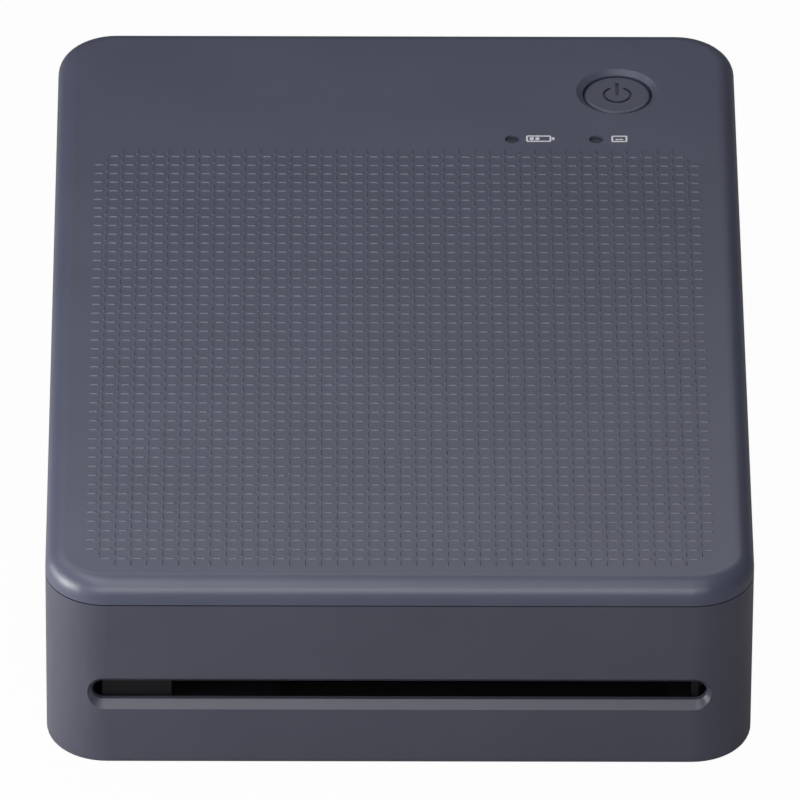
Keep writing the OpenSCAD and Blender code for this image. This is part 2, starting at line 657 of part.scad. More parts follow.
module heat_sink() color([0.7, 0.71, 0.73]) along_x(guide_x[0] + 2, guide_x[1] - 2) difference() {
  translate([head_y - head_w / 2, head_z + 1.2]) square([head_w, beam_z[0] - head_z - 1.2]);
  for (z = [head_z + 3 : 1.8 : beam_z[0] - 1.5], s = [-1, 1])
    translate([head_y + s * head_w / 2 - 1.6, z]) square([3.2, 0.8]);
}

module thermal_head() color([0.85, 0.83, 0.78]) along_x(paper_x - paper_w / 2, paper_x + paper_w / 2) {
  translate([head_y - head_w / 2, head_z + 0.3]) square([head_w, 0.9]);
  translate([head_y - 1, head_z + 0.05]) square([2, 0.5]);
}

// ---- battery and boards ----

module battery_pack() color([0.2, 0.24, 0.3]) {
  h = battery_t;
  e = 1.2;
  along_x(battery_box[0][0], battery_box[1][0] - 4) translate([(battery_box[0][1] + battery_box[1][1]) / 2,
    floor_z + h / 2]) rounded_rect(battery_box[1][1] - battery_box[0][1], h, e);
  block([battery_box[1][0] - 4, battery_box[0][1] + 4, floor_z],
    [battery_box[1][0], battery_box[1][1] - 4, floor_z + h - 1]);
}

module main_board() color([0.1, 0.32, 0.2]) difference() {
  block([board_box[0][0], board_box[0][1], board_z], [board_box[1][0], board_box[1][1], board_z + board_t]);
  for (p = board_posts) rod_z(p, screw_r + 0.1, 0, far);
  // Notches for the deck posts
  for (p = deck_posts) rod_z(p, post_r + air, 0, far);
}

// Packages on the main board, as [x, distance behind the board's front edge, width, depth, height]
chips = [[-12, 8.2, 12, 12, 1.4], [8, 12.2, 9, 6, 1.1], [22, 6.2, 10, 7, 1.2], [4, 27.2, 14, 4, 2.6]];
capacitors = [[-22, 23.2], [-18, 23.2], [34.5, 23.2]];

module board_parts() color([0.12, 0.12, 0.13]) translate([0, board_box[0][1], board_z + board_t]) {
  for (c = chips) translate([c[0], c[1], 0]) cube([c[2], c[3], c[4]]);
  for (c = capacitors) rod_z(c, 1.5, 0, 3.2);
  for (i = [0:5]) translate([-26 + 3 * i, 4.2, 0]) cube([1.4, 0.8, 0.6]);
}

module board_screws() color("silver") for (p = board_posts) pan_screw(p, board_z + board_t, board_t + 1.8);

socket_y = board_box[1][1] - 5.5;

module usb_socket() color([0.75, 0.75, 0.77]) {
  along_y(socket_y, rear_y + 1.2) translate([usb_x, usb_z]) difference() {
    stadium(usb_w, usb_h);
    stadium(usb_w - 0.6, usb_h - 0.6);
  }
  along_y(socket_y, socket_y + 1) translate([usb_x, usb_z]) stadium(usb_w, usb_h);
  along_y(socket_y + 0.9, rear_y) translate([usb_x, usb_z]) square([usb_w - 2.2, 0.7], center = true);
}

// ---- drive ----

motor_r = 7.5;
bracket_x = layer_b - 0.3 - plate_t;
ear_angles = [50, -50];
ear_d = motor_r + 2.3;

module motor_bracket() color([0.62, 0.63, 0.65]) {
  along_x(bracket_x, bracket_x + plate_t) difference() {
    union() {
      translate(motor_c) circle(motor_r);
      for (a = ear_angles) {
        translate(polar(motor_c, ear_d, a)) circle(1.6);
        translate(motor_c) rotate(a) translate([0, -1.6]) square([ear_d, 3.2]);
      }
    }
    translate(motor_c) circle(1.6);
  }
  for (a = ear_angles) rod_x(polar(motor_c, ear_d, a), 1.4, bracket_x + plate_t - eps, plate_left_x);
}

module motor_body() color([0.7, 0.7, 0.72]) {
  rod_x(motor_c, motor_r, -side_x + 0.4, bracket_x);
  along_x(-side_x + 2, bracket_x - 2) translate([motor_c[0] + motor_r - 1, motor_c[1] - 3]) square([2.4, 6]);
}

module motor_pinion() color([0.75, 0.62, 0.3]) {
  gear(motor_c, pinion_teeth, pinion_phase, layer_b, 0.7);
  rod_x(motor_c, 0.75, bracket_x, layer_b + gear_t);
}

module reduction_gear() color([0.85, 0.85, 0.82]) {
  gear(reduction_c, large_teeth, large_phase, layer_b, 0.95);
  gear(reduction_c, small_teeth, small_phase, layer_a, 0.95);
  difference() {
    rod_x(reduction_c, 2, layer_b + gear_t - eps, layer_a + eps);
    rod_x(reduction_c, 0.95, layer_b, layer_a + 1);
  }
}

module pick_idler_gear() color([0.85, 0.85, 0.82])
  gear(pick_idler_c, pick_idler_teeth, pick_idler_phase, layer_a, 0.95);
module idler_gear_1() color([0.85, 0.85, 0.82]) gear(idler_1_c, idler_teeth, idler_1_phase, layer_a, 0.95);
module idler_gear_2() color([0.85, 0.85, 0.82]) gear(idler_2_c, idler_teeth, idler_2_phase, layer_a, 0.95);
module idler_gear_3() color([0.85, 0.85, 0.82]) gear(idler_3_c, idler_teeth, idler_3_phase, layer_a, 0.95);

// Shafts end flush with the outer faces of the gears and the right plate
shaft_x = [layer_a - 0.3, plate_right_x + plate_t + 0.5];
sheet_x = [paper_x - paper_w / 2, paper_x + paper_w / 2];

module capstan() color([0.66, 0.67, 0.68]) {
  rod_x(capstan_c, shaft_r, shaft_x[0], shaft_x[1]);
  rod_x(capstan_c, capstan_r, sheet_x[0], sheet_x[1]);
}

module capstan_gear() color([0.85, 0.85, 0.82]) {
  gear(capstan_c, capstan_teeth, capstan_phase, layer_a, shaft_r);
  difference() {
    rod_x(capstan_c, 2.2, layer_a + gear_t - eps, plate_left_x - 0.2);
    rod_x(capstan_c, shaft_r, layer_a, plate_left_x + 1);
  }
}

module pinch_roller() color([0.14, 0.14, 0.15]) {
  rod_x(pinch_c, shaft_r, plate_left_x - 0.3, shaft_x[1]);
  for (x = [sheet_x[0] + 2 : 17 : sheet_x[1] - 16]) rod_x(pinch_c, pinch_r, x, x + 14);
}

module platen_shaft() color([0.66, 0.67, 0.68]) rod_x(platen_c, shaft_r, plate_left_x - 0.3, shaft_x[1]);

module platen_tyre() color([0.13, 0.13, 0.14]) difference() {
  rod_x(platen_c, platen_r, sheet_x[0], sheet_x[1]);
  rod_x(platen_c, shaft_r, sheet_x[0] - 1, sheet_x[1] + 1);
}

module exit_roller() color([0.14, 0.14, 0.15]) {
  rod_x(exit_c, shaft_r, shaft_x[0], shaft_x[1]);
  for (x = [sheet_x[0] + 6 : 26 : sheet_x[1] - 10]) rod_x(exit_c, exit_r, x, x + 8);
}

module exit_gear() color([0.85, 0.85, 0.82]) {
  gear(exit_c, exit_teeth, exit_phase, layer_a, shaft_r);
  difference() {
    rod_x(exit_c, 2.2, layer_a + gear_t - eps, plate_left_x - 0.2);
    rod_x(exit_c, shaft_r, layer_a, plate_left_x + 1);
  }
}

module exit_idler() color([0.3, 0.3, 0.31]) {
  rod_x(exit_idler_c, 0.7, plate_left_x - 0.3, plate_right_x + plate_t + 0.3);
  for (x = [sheet_x[0] + 8 : 26 : sheet_x[1] - 10]) rod_x(exit_idler_c, exit_idler_r, x, x + 4);
}

module pick_shaft() color([0.66, 0.67, 0.68]) rod_x(pick_c, shaft_r, shaft_x[0], shaft_x[1]);

module pick_tyre() color([0.13, 0.13, 0.14]) for (x = [-11, 5]) difference() {
  rod_x(pick_c, pick_r, paper_x + x, paper_x + x + 6);
  rod_x(pick_c, shaft_r, paper_x + x - 1, paper_x + x + 7);
}

module pick_gear() color([0.85, 0.85, 0.82]) {
  gear(pick_c, pick_teeth, pick_phase, layer_a, shaft_r);
  difference() {
    rod_x(pick_c, 2, layer_a + gear_t - eps, plate_left_x - 0.2);
    rod_x(pick_c, shaft_r, layer_a, plate_left_x + 1);
  }
}

// ---- ribbon cassette ----

module cassette_frame() color([0.24, 0.24, 0.26]) difference() {
  union() {
    for (c = [[supply_c, 1], [takeup_c, -1]]) along_x(cassette_x[0], cassette_x[1] - grip_t + eps)
      translate(c[0]) difference() {
        circle(housing_r);
        circle(housing_r - housing_t);
        // Mouth that the film leaves through, on the side of the head
        translate([c[1] > 0 ? -1.5 : -housing_r - 1, -housing_r - 1])
          square([housing_r + 2.5, housing_r - 1]);
      }
    for (x = [[cassette_x[0], cassette_x[0] + end_t], [cassette_x[1] - grip_t, cassette_x[1]]])
      along_x(x[0], x[1]) {
        for (c = [supply_c, takeup_c]) translate(c) circle(housing_r);
        translate([supply_c[0], beam_z[1] + 0.3])
          square([takeup_c[0] - supply_c[0], supply_c[1] + housing_r - beam_z[1] - 0.3]);
      }
  }
  for (c = [supply_c, takeup_c])
    rod_x(c, core_r + run, cassette_x[0] - 1, cassette_x[1] - 1);
  // Finger grip in the outer end
  for (i = [0:3]) block([cassette_x[1] - 0.6, head_y - 6 + 3.4 * i, beam_z[1]],
    [cassette_x[1] + 1, head_y - 4.4 + 3.4 * i, far]);
}

module spool(c) {
  rod_x(c, core_r, cassette_x[0] - (c == takeup_c ? 0.1 : 0), cassette_x[1] - 1.2);
  rod_x(c, roll_r, sheet_x[0], sheet_x[1]);
}

module supply_spool() color([0.62, 0.55, 0.2]) spool(supply_c);
module takeup_spool() color([0.5, 0.46, 0.42]) spool(takeup_c);

module takeup_gear() color([0.85, 0.85, 0.82]) {
  gear(takeup_c, takeup_teeth, takeup_phase, layer_a, 0.5);
  rod_x(takeup_c, core_r, layer_a + gear_t - eps, cassette_x[0] - 0.1);
}

// The film runs from the supply roll under the head to the take-up roll
module ribbon_film() color([0.55, 0.5, 0.2]) {
  film_t = 0.1;
  z = head_z - 0.1;
  along_x(sheet_x[0] + 1, sheet_x[1] - 1) for (s = [-1, 1]) {
    p = [head_y + s * (head_w / 2 + 0.3), z];
    c = s < 0 ? supply_c : takeup_c;
    q = polar(c, roll_r + air, s < 0 ? -75 : -105);
    polygon([[head_y, z], p, q, q + [0, film_t], p + [0, film_t], [head_y, z + film_t]]);
  }
}

// ---- ink door ----

module ink_door() color([0.28, 0.28, 0.33]) {
  difference() {
    union() {
      block([side_x + 0.4, door_y[0] + fit, door_axis[1]], [body_w / 2, door_y[1] - fit, door_z[1] - fit]);
      along_y(door_y[0] + fit, door_y[1] - fit) translate(door_axis) circle(door_barrel_r);
    }
    // Finger notch in the upper edge
    translate([body_w / 2 + 5, (door_y[0] + door_y[1]) / 2, door_z[1] - 2]) cylinder(r = 5.8, h = 4);
  }
  along_y(door_y[0] - ear_t + 0.2, door_y[1] + ear_t - 0.2) translate(door_axis) circle(door_pin_r);
}

// ---- lid ----

boss_at = [[liner_x[0] + 3, liner_y[0] + 3], [liner_x[1] - 3, liner_y[0] + 3],
  [liner_x[0] + 3, liner_y[1] - 3], [liner_x[1] - 3, lamp_y - 8]];

module lid_shell() color([0.29, 0.29, 0.34]) difference() {
  union() {
    difference() {
      translate([0, 0, lid_z]) pillow(body_w, body_d, corner_r, body_h - lid_z, top_edge_r);
      translate([0, 0, lid_z - 1]) linear_extrude(lid_under - lid_z + 1)
        rounded_rect(inner_w, inner_d, corner_r - wall);
    }
    // The hinge barrel along the rear edge
    intersection() {
      rod_x([axis_y, axis_z], barrel_r, -far / 2, far / 2);
      translate([0, 0, axis_z - 10]) linear_extrude(10)
        rounded_rect(body_w - 0.1, body_d - 0.1, corner_r - 0.05);
    }
    for (p = magnet_at) rod_z(p, magnet_r + 0.8, lid_under - magnet_t, lid_under + eps);
    for (p = boss_at) rod_z(p, 2, liner_z + liner_t, lid_under + eps);
    // Ribs under the lid
    for (y = [front_y + 21.1, front_y + 37.1])
      block([-side_x + 9.3, y, lid_under - 1], [side_x - 9.3, y + 1, lid_under + eps]);
  }
  for (s = [-1, 1]) {
    x = [s * lug_x - lug_w / 2 - 0.4, s * lug_x + lug_w / 2 + 0.4];
    rod_x([axis_y, axis_z], lug_r + 0.35, x[0], x[1]);
    block([x[0], axis_y - 5, axis_z - 5], [x[1], body_d / 2 + 1, lid_z]);
    block([x[0], axis_y - 5, axis_z - 5], [x[1], axis_y - 1, lid_under]);
    rod_x([axis_y, axis_z], hinge_pin_r + run, s * lug_x - pin_l / 2 - 0.2, s * lug_x + pin_l / 2 + 0.2);
  }
  for (p = magnet_at) rod_z(p, magnet_r, lid_z - 1, lid_under);
  for (p = boss_at) rod_z(p, screw_r, liner_z, lid_under - 0.4);
  translate([button_x, button_y, button_top])
    cylinder(r1 = dish_in_r, r2 = dish_r + (dish_r - dish_in_r) / 2, h = button_drop * 1.5);
  rod_z([button_x, button_y], button_r + button_gap, lid_under - 1, body_h + 1);
  for (x = [charge_lamp_x, status_lamp_x]) rod_z([x, lamp_y], lamp_r, lid_under - 1, body_h + 1);
}

// Five rails under the liner hold the paper stack down
rail_pitch = (liner_x[1] - liner_x[0] - 17) / 4;

module lid_liner() color([0.18, 0.18, 0.2]) difference() {
  union() {
    difference() {
      block([liner_x[0], liner_y[0], liner_z], [liner_x[1], liner_y[1], lid_under - 0.1]);
      block([liner_x[0] + liner_t, liner_y[0] + liner_t, liner_z + liner_t],
        [liner_x[1] - liner_t, liner_y[1] - liner_t, lid_under + 1]);
    }
    for (i = [-2:2]) translate([paper_x - 0.5 + i * rail_pitch, 0, 0]) along_x(0, 1) {
      translate([liner_y[0] + 6, hold_z + 1])
        square([liner_y[1] - liner_y[0] - 12, liner_z - hold_z - 1 + eps]);
      translate([(liner_y[0] + liner_y[1]) / 2, hold_z + 1]) stadium(liner_y[1] - liner_y[0] - 12, 2);
    }
    for (p = switch_posts) rod_z(p, 1.6, liner_z + liner_t - eps, board_top - board_t);
  }
  for (p = boss_at) rod_z(p, screw_r + 0.1, liner_z - 1, liner_z + 2);
}

module liner_screws() color("silver") for (p = boss_at)
  translate([0, 0, 2 * liner_z]) mirror([0, 0, 1]) pan_screw(p, liner_z, 3);

switch_box = [[charge_lamp_x - 3.8, lamp_y - 3.3], [button_x + 4.7, button_y + 4.1]];
switch_posts = [[charge_lamp_x - 1.3, button_y + 1.1], [button_x + 1.7, lamp_y + 3.2]];

module button_board() color([0.1, 0.32, 0.2]) {
  block([switch_box[0][0], switch_box[0][1], board_top - board_t],
    [switch_box[1][0], switch_box[1][1], board_top]);
  for (x = [charge_lamp_x, status_lamp_x])
    block([x - 0.8, lamp_y - 0.5, board_top], [x + 0.8, lamp_y + 0.5, board_top + 0.5]);
}

module tact_switch() color([0.15, 0.15, 0.16]) {
  block([button_x - 2.2, button_y - 2.2, board_top], [button_x + 2.2, button_y + 2.2, plunger_z - 0.25]);
  rod_z([button_x, button_y], 1.2, plunger_z - 0.3, plunger_z);
}

module light_pipe(x) color([0.35, 0.36, 0.38]) {
  rod_z([x, lamp_y], lamp_r - run, board_top + 0.8, pipe_top);
  rod_z([x, lamp_y], lamp_r + 0.6, lid_under - 0.7, lid_under);
}
module charge_light_pipe() light_pipe(charge_lamp_x);
module status_light_pipe() light_pipe(status_lamp_x);

module lid_magnets() color("silver") for (p = magnet_at) rod_z(p, magnet_r, lid_under - magnet_t, lid_under);

module power_button() color([0.27, 0.27, 0.32]) translate([button_x, button_y, 0]) rotate_extrude() {
  e = 0.3;
  translate([0, flange_z]) square([flange_r, flange_t]);
  translate([0, flange_z]) square([button_r, button_top - flange_z - e]);
  translate([0, flange_z]) square([button_r - e, button_top - flange_z]);
  translate([button_r - e, button_top - e]) circle(e);
}

lower_case();
feet();
hinge_pins();
inner_deck();
deck_magnets();
deck_screws();
paper_tray();
lift_plate();
lift_spring();
exit_guide();
path_guide();
path_floor();
side_plate_left();
side_plate_right();
chassis_screws();
roller_bushes();
head_beam();
heat_sink();
thermal_head();
battery_pack();
main_board();
board_parts();
board_screws();
usb_socket();
motor_bracket();
motor_body();
motor_pinion();
reduction_gear();
pick_idler_gear();
idler_gear_1();
idler_gear_2();
idler_gear_3();
capstan();
capstan_gear();
pinch_roller();
platen_shaft();
platen_tyre();
exit_roller();
exit_gear();
exit_idler();
pick_shaft();
pick_tyre();
pick_gear();
cassette_frame();
ribbon_film();
supply_spool();
takeup_spool();
takeup_gear();
ink_door();
lid_shell();
lid_liner();
liner_screws();
button_board();
tact_switch();
charge_light_pipe();
status_light_pipe();
lid_magnets();
power_button();
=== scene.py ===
import json
from math import pi, radians

import bmesh
import bpy
from mathutils import Matrix, Quaternion, Vector


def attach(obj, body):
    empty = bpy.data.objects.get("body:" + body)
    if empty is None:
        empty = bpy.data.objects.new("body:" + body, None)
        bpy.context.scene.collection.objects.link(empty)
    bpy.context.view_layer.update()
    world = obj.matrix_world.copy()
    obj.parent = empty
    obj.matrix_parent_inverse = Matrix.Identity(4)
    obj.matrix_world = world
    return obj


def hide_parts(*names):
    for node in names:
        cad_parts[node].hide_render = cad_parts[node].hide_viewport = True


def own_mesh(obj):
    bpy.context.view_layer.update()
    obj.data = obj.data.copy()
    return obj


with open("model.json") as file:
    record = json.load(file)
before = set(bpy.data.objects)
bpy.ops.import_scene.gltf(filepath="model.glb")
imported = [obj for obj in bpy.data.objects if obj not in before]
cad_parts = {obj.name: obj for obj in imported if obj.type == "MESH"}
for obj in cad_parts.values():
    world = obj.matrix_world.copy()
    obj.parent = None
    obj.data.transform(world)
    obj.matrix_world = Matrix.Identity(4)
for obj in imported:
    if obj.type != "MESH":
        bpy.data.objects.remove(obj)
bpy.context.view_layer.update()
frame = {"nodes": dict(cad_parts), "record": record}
print("frame loaded,", len(frame["nodes"]), "nodes")

mm = 0.001
lidTop = 32.9

# Camera, at the photograph's viewing angle. Places in metres, angles in degrees.
cameraView = {
    "place": (-0.014265, -1.790569, 1.249497),
    "aim": (0.000391, -0.000546, 0.015211),
    "roll": 0.3887,
    "lens": 659.785,
    "sensor": 36.0,
}


def makeCamera(view):
    data = bpy.data.cameras.new("photoCamera")
    data.lens, data.sensor_width = view["lens"], view["sensor"]
    data.clip_start, data.clip_end = 0.2, 20
    camera = bpy.data.objects.new("photoCamera", data)
    bpy.context.scene.collection.objects.link(camera)
    camera.location = view["place"]
    look = Vector(view["aim"]) - Vector(view["place"])
    camera.rotation_mode = "QUATERNION"
    camera.rotation_quaternion = look.to_track_quat("-Z", "Y") @ Quaternion((0, 0, 1), radians(view["roll"]))
    bpy.context.scene.camera = camera


makeCamera(cameraView)


# Node helpers. Colours are written as they should look, 0 to 255.
def linear(colour):
    parts = [c / 255 for c in colour]
    return [c / 12.92 if c <= 0.04045 else ((c + 0.055) / 1.055) ** 2.4 for c in parts] + [1.0]


def addNode(tree, kind, inputs=None, **settings):
    node = tree.nodes.new(kind)
    for key, value in settings.items():
        setattr(node, key, value)
    for key, value in (inputs or {}).items():
        if isinstance(value, bpy.types.NodeSocket):
            tree.links.new(value, node.inputs[key])
        else:
            node.inputs[key].default_value = value
    return node


def newFinish(name, **sockets):
    finish = bpy.data.materials.new(name)
    finish.use_nodes = True
    shader = finish.node_tree.nodes["Principled BSDF"]
    for key, value in sockets.items():
        shader.inputs[key.replace("_", " ")].default_value = value
    place = addNode(finish.node_tree, "ShaderNodeTexCoord").outputs["Object"]
    return finish, finish.node_tree, shader, place


def noise(tree, place, scale, detail=2.0, stretch=None):
    if stretch:
        place = addNode(tree, "ShaderNodeMapping", {"Vector": place, "Scale": stretch}).outputs["Vector"]
    settings = {"Vector": place, "Scale": scale, "Detail": detail}
    return addNode(tree, "ShaderNodeTexNoise", settings).outputs["Fac"]


# A factor from a noise, drawn between two colours
def tint(tree, factor, low, high, start=0.3, end=0.7):
    ramp = addNode(tree, "ShaderNodeValToRGB", {"Fac": factor})
    ramp.color_ramp.elements[0].position, ramp.color_ramp.elements[1].position = start, end
    ramp.color_ramp.elements[0].color, ramp.color_ramp.elements[1].color = linear(low), linear(high)
    return ramp.outputs["Color"]


def spread(tree, factor, low, high):
    return addNode(tree, "ShaderNodeMapRange", {"Value": factor, "From Min": 0.3, "From Max": 0.7,
                                                "To Min": low, "To Max": high}).outputs["Result"]


def bump(tree, height, strength, depth, under=None):
    inputs = {"Height": height, "Strength": strength, "Distance": depth * mm}
    if under:
        inputs["Normal"] = under
    return addNode(tree, "ShaderNodeBump", inputs).outputs["Normal"]


def wear(shader, tree, **links):
    for key, socket in links.items():
        tree.links.new(socket, shader.inputs[key.replace("_", " ")])


def near(colour, step):
    return tuple(max(0, c + step) for c in colour)


# Moulded plastic: a fine even grain, faint clouding in colour and gloss
def mouldedPlastic(name, colour, rough, grain=0.35, grainSize=0.22, cloud=2, shine=0.5):
    finish, tree, shader, place = newFinish(name, Specular_IOR_Level=shine)
    clouding = noise(tree, place, 55, 3)
    fine = noise(tree, place, 1 / (grainSize * mm), 2)
    coarse = noise(tree, place, 0.3 / (grainSize * mm), 1)
    wear(shader, tree,
         Base_Color=tint(tree, clouding, near(colour, -cloud), near(colour, cloud)),
         Roughness=spread(tree, fine, rough - 0.04, rough + 0.04),
         Normal=bump(tree, fine, grain, 0.02, bump(tree, coarse, grain * 0.5, 0.03)))
    return finish


# Sheet steel: zinc spangle, with rolling marks along the sheet
def platedSheet(name, colour, rough):
    finish, tree, shader, place = newFinish(name, Metallic=1.0)
    spangle = addNode(tree, "ShaderNodeTexVoronoi", {"Vector": place, "Scale": 420.0}).outputs["Color"]
    spangle = addNode(tree, "ShaderNodeRGBToBW", {"Color": spangle}).outputs["Val"]
    rolled = noise(tree, place, 60, 4, (1, 1, 60))
    wear(shader, tree,
         Base_Color=tint(tree, spangle, near(colour, -9), near(colour, 6), 0.2, 0.8),
         Roughness=spread(tree, rolled, rough - 0.06, rough + 0.08),
         Normal=bump(tree, rolled, 0.12, 0.01))
    return finish


# Turned and ground metal: fine rings round the X axis, along which all shafts lie
def turnedMetal(name, colour, rough, rings=0.2):
    finish, tree, shader, place = newFinish(name, Metallic=1.0)
    ring = noise(tree, place, 40, 3, (90, 1, 1))
    wear(shader, tree,
         Base_Color=tint(tree, ring, near(colour, -8), near(colour, 8)),
         Roughness=spread(tree, ring, rough - 0.05, rough + 0.07),
         Normal=bump(tree, ring, rings, 0.01))
    return finish


def groundRubber(name, colour, rough):
    finish, tree, shader, place = newFinish(name, Specular_IOR_Level=0.35)
    grit = noise(tree, place, 6000, 4)
    dust = noise(tree, place, 120, 4)
    wear(shader, tree,
         Base_Color=tint(tree, dust, near(colour, -4), near(colour, 7)),
         Roughness=spread(tree, grit, rough - 0.08, rough + 0.05),
         Normal=bump(tree, grit, 0.6, 0.03))
    return finish


def glazedCeramic(name, colour):
    finish, tree, shader, place = newFinish(name, Coat_Weight=0.6, Coat_Roughness=0.12)
    speck = noise(tree, place, 900, 5)
    wear(shader, tree,
         Base_Color=tint(tree, speck, near(colour, -10), near(colour, 4)),
         Roughness=spread(tree, speck, 0.3, 0.42),
         Normal=bump(tree, speck, 0.08, 0.01))
    return finish


# Circuit board: solder resist over copper tracks that run along and across
def circuitBoard(name, colour):
    finish, tree, shader, place = newFinish(name, Coat_Weight=0.4, Coat_Roughness=0.2)
    tracks = []
    for turn, scale in ((0.0, 420.0), (pi / 2, 290.0)):
        turned = addNode(tree, "ShaderNodeMapping", {"Vector": place, "Rotation": (0, 0, turn)})
        wave = {"Vector": turned.outputs["Vector"], "Scale": scale / 6, "Distortion": 0.0}
        bands = addNode(tree, "ShaderNodeTexWave", wave).outputs["Fac"]
        lines = addNode(tree, "ShaderNodeMath", {0: bands, 1: 0.82}, operation="GREATER_THAN")
        tracks.append(lines.outputs[0])
    cells = addNode(tree, "ShaderNodeTexVoronoi", {"Vector": place, "Scale": 130.0}, distance="CHEBYCHEV")
    areas = addNode(tree, "ShaderNodeRGBToBW", {"Color": cells.outputs["Color"]}).outputs["Val"]
    across = addNode(tree, "ShaderNodeMath", {0: areas, 1: 0.5}, operation="GREATER_THAN").outputs[0]
    track = addNode(tree, "ShaderNodeMix", {"Factor": across, 2: tracks[0], 3: tracks[1]}).outputs[0]
    wear(shader, tree,
         Base_Color=tint(tree, track, colour, near(colour, 26), 0.2, 0.8),
         Roughness=spread(tree, noise(tree, place, 700), 0.34, 0.5),
         Normal=bump(tree, track, 0.25, 0.02))
    return finish


def mouldedPackage(name, colour):
    finish, tree, shader, place = newFinish(name)
    speck = noise(tree, place, 5000, 3)
    wear(shader, tree,
         Base_Color=tint(tree, speck, near(colour, -5), near(colour, 9)),
         Roughness=spread(tree, speck, 0.5, 0.68),
         Normal=bump(tree, speck, 0.3, 0.01))
    return finish


# Thin film, drawn tight: long soft wrinkles and a clear gloss
def shrinkFilm(name, colour, along, rough, strength=0.3):
    finish, tree, shader, place = newFinish(name, Coat_Weight=0.5, Coat_Roughness=0.15)
    wrinkle = noise(tree, place, 60, 4, along)
    wear(shader, tree,
         Base_Color=tint(tree, wrinkle, near(colour, -6), near(colour, 8)),
         Roughness=spread(tree, wrinkle, rough - 0.05, rough + 0.1),
         Normal=bump(tree, wrinkle, strength, 0.15))
    return finish


def lampLens(name, colour):
    finish, tree, shader, place = newFinish(name, Specular_IOR_Level=0.3)
    frosted = noise(tree, place, 2400, 2)
    wear(shader, tree,
         Base_Color=tint(tree, frosted, near(colour, -3), near(colour, 5)),
         Roughness=spread(tree, frosted, 0.4, 0.5))
    return finish


def printedInk(name, colour):
    finish, tree, shader, place = newFinish(name)
    edge = noise(tree, place, 4000, 3)
    wear(shader, tree,
         Base_Color=tint(tree, edge, near(colour, -8), near(colour, 4)),
         Roughness=spread(tree, edge, 0.42, 0.55))
    return finish


# Finishes, one for each material slot of the record
finishes = {
    "case_plastic": mouldedPlastic("casePlastic", (62, 62, 76), 0.38, 0.2),
    "lid_plastic": mouldedPlastic("lidPlastic", (68, 71, 88), 0.38, 0.2),
    "button_plastic": mouldedPlastic("buttonPlastic", (68, 71, 87), 0.38, 0.2),
    "inner_plastic": mouldedPlastic("innerPlastic", (46, 46, 50), 0.55),
    "black_plastic": mouldedPlastic("blackPlastic", (7, 7, 10), 0.5, shine=0.25),
    "gear_plastic": mouldedPlastic("gearPlastic", (222, 220, 208), 0.38, 0.1, 0.6, 4),
    "sheet_steel": platedSheet("sheetSteel", (176, 178, 181), 0.36),
    "ground_steel": turnedMetal("groundSteel", (186, 187, 189), 0.2),
    "screw_steel": turnedMetal("screwSteel", (150, 150, 152), 0.3, 0.1),
    "magnet": turnedMetal("nickel", (190, 188, 184), 0.16, 0.05),
    "aluminium": platedSheet("aluminium", (196, 198, 201), 0.3),
    "ceramic": glazedCeramic("ceramic", (224, 219, 205)),
    "bronze": turnedMetal("bronze", (186, 142, 84), 0.34),
    "rubber": groundRubber("rubber", (26, 26, 28), 0.72),
    "foot_rubber": groundRubber("footRubber", (32, 32, 34), 0.8),
    "board": circuitBoard("board", (22, 78, 50)),
    "component": mouldedPackage("component", (30, 30, 32)),
    "battery_wrap": shrinkFilm("batteryWrap", (54, 63, 78), (3, 1, 1), 0.3),
    "ribbon": shrinkFilm("ribbonFilm", (150, 136, 56), (1, 6, 6), 0.22, 0.15),
    "lamp_lens": lampLens("lampLens", (44, 46, 56)),
}
markInk = printedInk("markInk", (198, 199, 205))
# A darker plastic colour for the sign's groove: painted shade in the recess
paintedGrooveShade = mouldedPlastic("paintedGrooveShade", (44, 46, 60), 0.6)
print("finishes made:", len(finishes) + 2)

# Every CAD node takes the finish of its own slot
slotOf = {part["node"]: part["material_slot"] for part in frame["record"]["subparts"]}
for nodeName, cadNode in frame["nodes"].items():
    cadNode.data.materials.clear()
    cadNode.data.materials.append(finishes[slotOf[nodeName]])
print("nodes finished")


# Turns a bmesh, drawn in millimetres, into a piece that rides on a body
def makePiece(bm, name, body, materials, sharp=30):
    bmesh.ops.remove_doubles(bm, verts=bm.verts[:], dist=0.0005)
    bmesh.ops.recalc_face_normals(bm, faces=bm.faces[:])
    bmesh.ops.scale(bm, vec=(mm, mm, mm), verts=bm.verts[:])
    mesh = bpy.data.meshes.new(name)
    bm.to_mesh(mesh)
    bm.free()
    for material in materials:
        mesh.materials.append(material)
    mesh.shade_smooth()
    mesh.set_sharp_from_angle(angle=radians(sharp))
    piece = bpy.data.objects.new(name, mesh)
    bpy.context.scene.collection.objects.link(piece)
    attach(piece, body)
    return piece


def copyMoved(bm, geometry, shift):
    copied = bmesh.ops.duplicate(bm, geom=geometry)["geom"]
    bmesh.ops.translate(bm, vec=shift, verts=[v for v in copied if isinstance(v, bmesh.types.BMVert)])
    return copied


# The raised bars on the lid: short bars across, and short bars along between them
lidBars = {
    "top": lidTop,
    "sunk": 0.03,
    # size at the foot, rise above the lid, and how far the slopes lean in at the sides and at the ends
    "across": {"size": (1.38, 0.46), "rise": 0.15, "lean": (0.13, 0.13)},
    "along": {"size": (0.44, 1.48), "rise": 0.11, "lean": (0.14, 0.11)},
    "pitchX": 2.286,
    "pitchY": 2.321,
    "columns": 40,
    "rows": 46,
    "firstRow": -66.47,
    "cornerCut": 0.06,
}


